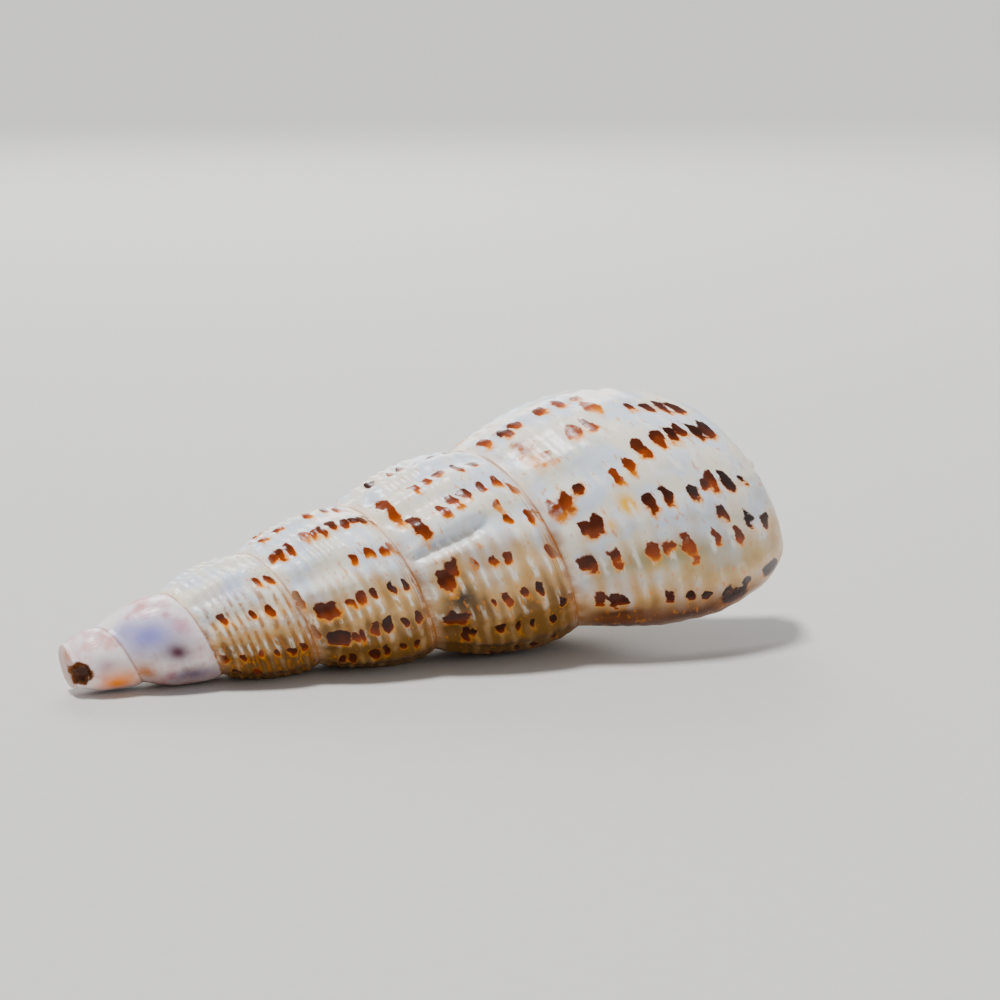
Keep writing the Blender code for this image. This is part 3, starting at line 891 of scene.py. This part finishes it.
skin = layered(tree, CREAM, (
    (BLUE_WHITE, cover(tree, 1.0, (lumps["clouds"], 0.40, 0.60))),
    (CLOUDY, cover(tree, 0.45, (streaks["smoke"], 0.50, 0.72))),
    # Tan and olive below: partly a stain, partly painted shade darkening the side turned down
    (TAN, cover(tree, 0.85, (stain_and_shade_below, 0.74, 1.04))),
    (OLIVE, cover(tree, 1.0, (stain_and_shade_below, 0.98, 1.22))),
    (tints, tint_cover),
    # Painted glints: white on the crests of the beads, broken up, fading towards the bottom
    (PAINTED_BEAD_GLINT, cover(tree, 0.75, (marks["cord"], 0.50, 1.0), (marks["bead"], 0.15, 0.80),
                       (streaks["glint_breaks"], 0.40, 0.56), (marks["underside"], 1.0, 0.84))),
    # Golden brown in the grooves underneath on the early whorls: partly a stain, partly painted shade in
    # the grooves
    (GOLDEN_BROWN, cover(tree, 0.75, (marks["cord"], 0.60, 0.10), (lumps["patches"], 0.42, 0.58),
                         (marks["underside"], 0.36, 0.58), (turn_out, 2.5, 2.15))),
    (ORANGE, cover(tree, 0.55, (freckled, 0.79, 0.87))),
    (HALO, cover(tree, younger, (near, 0.41, 0.67), (marks["strength"], 0.2, 0.9),
                 (marks["underside"], 1.15, 0.70))),
    (dash_colour, cover(tree, 1.0, (near, 0.59, 0.71), (patchy, 0.65, 1.15))),
    (PEACH, cover(tree, 0.40, (off_suture, 0.08, 0.01))),
    # Brown in the suture's crease on the side turned down: partly a stain, partly painted shade
    (SUTURE_STAIN_AND_SHADE, cover(tree, 0.70, (off_suture, 0.08, 0.01), (marks["underside"], 0.42, 0.75),
                    (streaks["crease_stain_and_shade"], 0.36, 0.60))),
    (SUTURE_LINE, cover(tree, 0.75, (thread, 0.55, 0.95), (to_lower, 0.13, 0.03),
                        (streaks["threads"], 0.40, 0.60))),
    (SUTURE_LINE, cover(tree, broken, (off_suture, 0.018, 0.0))),
))

# Worn tip: the outer skin is gone, so the white and pink layers beneath show
hollowed = add_node(tree, "Math", {0: lumps["patches"], 1: 0.70, 2: marks["pit"]}, operation="MULTIPLY_ADD")
worn = add_node(tree, "Math", {0: lumps["mottle"], 1: 0.5, 2: marks["wear"]}, operation="MULTIPLY_ADD")
beneath = layered(tree, TIP_WHITE, (
    (TIP_PINK, cover(tree, 1.0, (lumps["mottle"], 0.46, 0.72))),
    (SUTURE_LINE, cover(tree, 0.55, (off_suture, 0.035, 0.005))),
    (tints, tint_cover),
    # Brown pit, darker towards its middle: painted shade in its hollow
    (PIT_BROWN, cover(tree, 1.0, (hollowed, 0.58, 0.72))),
    (PIT_DARK, cover(tree, 1.0, (hollowed, 0.70, 0.90))),
))
shown = layered(tree, skin, ((beneath, cover(tree, 1.0, (worn, 0.55, 0.85))),))

# Fine relief in the skin: growth lines and pits too low for the mesh
fine = add_node(tree, "Math", {0: lumps["grain"], 1: 0.9, 2: streaks["growth"]}, operation="MULTIPLY_ADD")
raised = add_node(tree, "Bump", {"Strength": 0.55, "Distance": 0.02 * MM, "Height": fine})
feed(shader, {"Base Color": shown, "Normal": raised, "Roughness": 0.27, "IOR": 1.45,
              "Specular IOR Level": 0.30, "Subsurface Weight": 0.25,
              "Subsurface Radius": (1.0, 0.7, 0.45), "Subsurface Scale": 0.25 * MM})
shell_data.materials.append(outer)

# Inner layer: smooth, glossy aragonite that the mantle glazes, cream clouded with pale pink
INNER_CREAM = "EBDCC6"
INNER_PINK = "D9B7A4"
INNER_CLOUD_SIZE = 1.2 * MM
RIPPLE_SIZE = 0.5 * MM

inner, tree, shader = new_material("aragonite inner glaze")
on_shell = add_node(tree, "TexCoord", {}, "Object")
clouds = add_node(tree, "TexNoise", {"Vector": on_shell, "Scale": 1.0 / INNER_CLOUD_SIZE, "Detail": 3.0})
glazed = layered(tree, INNER_CREAM, ((INNER_PINK, cover(tree, 1.0, (clouds, 0.40, 0.65))),))
ripples = add_node(tree, "TexNoise", {"Vector": on_shell, "Scale": 1.0 / RIPPLE_SIZE, "Detail": 3.0})
rippled = add_node(tree, "Bump", {"Strength": 0.3, "Distance": 0.01 * MM, "Height": ripples})
feed(shader, {"Base Color": glazed, "Normal": rippled, "Roughness": 0.18, "IOR": 1.55,
              "Subsurface Weight": 0.3, "Subsurface Radius": (1.0, 0.75, 0.55),
              "Subsurface Scale": 0.4 * MM})
shell_data.materials.append(inner)

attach(shell, "root")
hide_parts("shell")


# Light: a soft key like an overhead window, so far off that it is even over the whole ground,
# a low fill from the right and a soft light behind, with an even pale surround. Places, and
# the sizes of the fill and the light behind, are in mm.
LIGHT_AIM = (0.0, 0.0, 4.0)
KEY_FROM = (-60.0, 10.0, 230.0)
KEY_SPREAD = math.radians(12.0)
KEY_POWER = 4.4
FILL = ("fill", (170.0, -190.0, 70.0), 160.0, 0.10)
BACK = ("back", (60.0, 200.0, 130.0), 120.0, 0.30)
SURROUND = "DDE1E6"
SURROUND_POWER = 0.55


def aimed(name, light, at):
    """Put a light at a place in mm, aimed at the middle of the shell."""
    lamp = bpy.data.objects.new(name, light)
    lamp.location = Vector(at) * MM
    aim = Vector(LIGHT_AIM) * MM - lamp.location
    lamp.rotation_euler = aim.to_track_quat("-Z", "Y").to_euler()
    bpy.context.scene.collection.objects.link(lamp)


key = bpy.data.lights.new("key", "SUN")
key.angle = KEY_SPREAD
key.energy = KEY_POWER
aimed("key", key, KEY_FROM)
for name, at, size, power in (FILL, BACK):
    light = bpy.data.lights.new(name, "AREA")
    light.size = size * MM
    light.energy = power
    aimed(name, light, at)

world = bpy.data.worlds.new("studio")
world.use_nodes = True
feed(world.node_tree.nodes["Background"], {"Color": SURROUND, "Strength": SURROUND_POWER})
bpy.context.scene.world = world

# Camera: 12 degrees above the shell's level, 25 degrees round towards its tip, 105 mm away
CAMERA_TURN = math.radians(-24.8)
CAMERA_RISE = math.radians(12.0)
CAMERA_DISTANCE = 105.0 * MM
FOCAL_LENGTH = 108.0
PIVOT_ALONG = 2.569 * MM
AIM_RIGHT = 12.72 * MM
AIM_UP = 3.37 * MM
SHIFT_UP = 0.05
CLIP_NEAR = 5.0 * MM
CLIP_FAR = 10.0

right = Vector((math.cos(CAMERA_TURN), math.sin(CAMERA_TURN), 0.0))
level = Vector((-math.sin(CAMERA_TURN), math.cos(CAMERA_TURN), 0.0))
upward = level * math.sin(CAMERA_RISE) + Vector((0.0, 0.0, math.cos(CAMERA_RISE)))
forward = level * math.cos(CAMERA_RISE) - Vector((0.0, 0.0, math.sin(CAMERA_RISE)))
pivot = TIP_AT + Vector((math.cos(PITCH), 0.0, math.sin(PITCH))) * PIVOT_ALONG
camera_data = bpy.data.cameras.new("camera")
camera_data.lens = FOCAL_LENGTH
camera_data.clip_start = CLIP_NEAR
camera_data.clip_end = CLIP_FAR
camera_data.shift_y = SHIFT_UP
camera = bpy.data.objects.new("camera", camera_data)
camera.location = pivot + right * AIM_RIGHT + upward * AIM_UP - forward * CAMERA_DISTANCE
camera.rotation_euler = (0.5 * math.pi - CAMERA_RISE, 0.0, CAMERA_TURN)
bpy.context.scene.collection.objects.link(camera)
bpy.context.scene.camera = camera


bpy.context.view_layer.update()
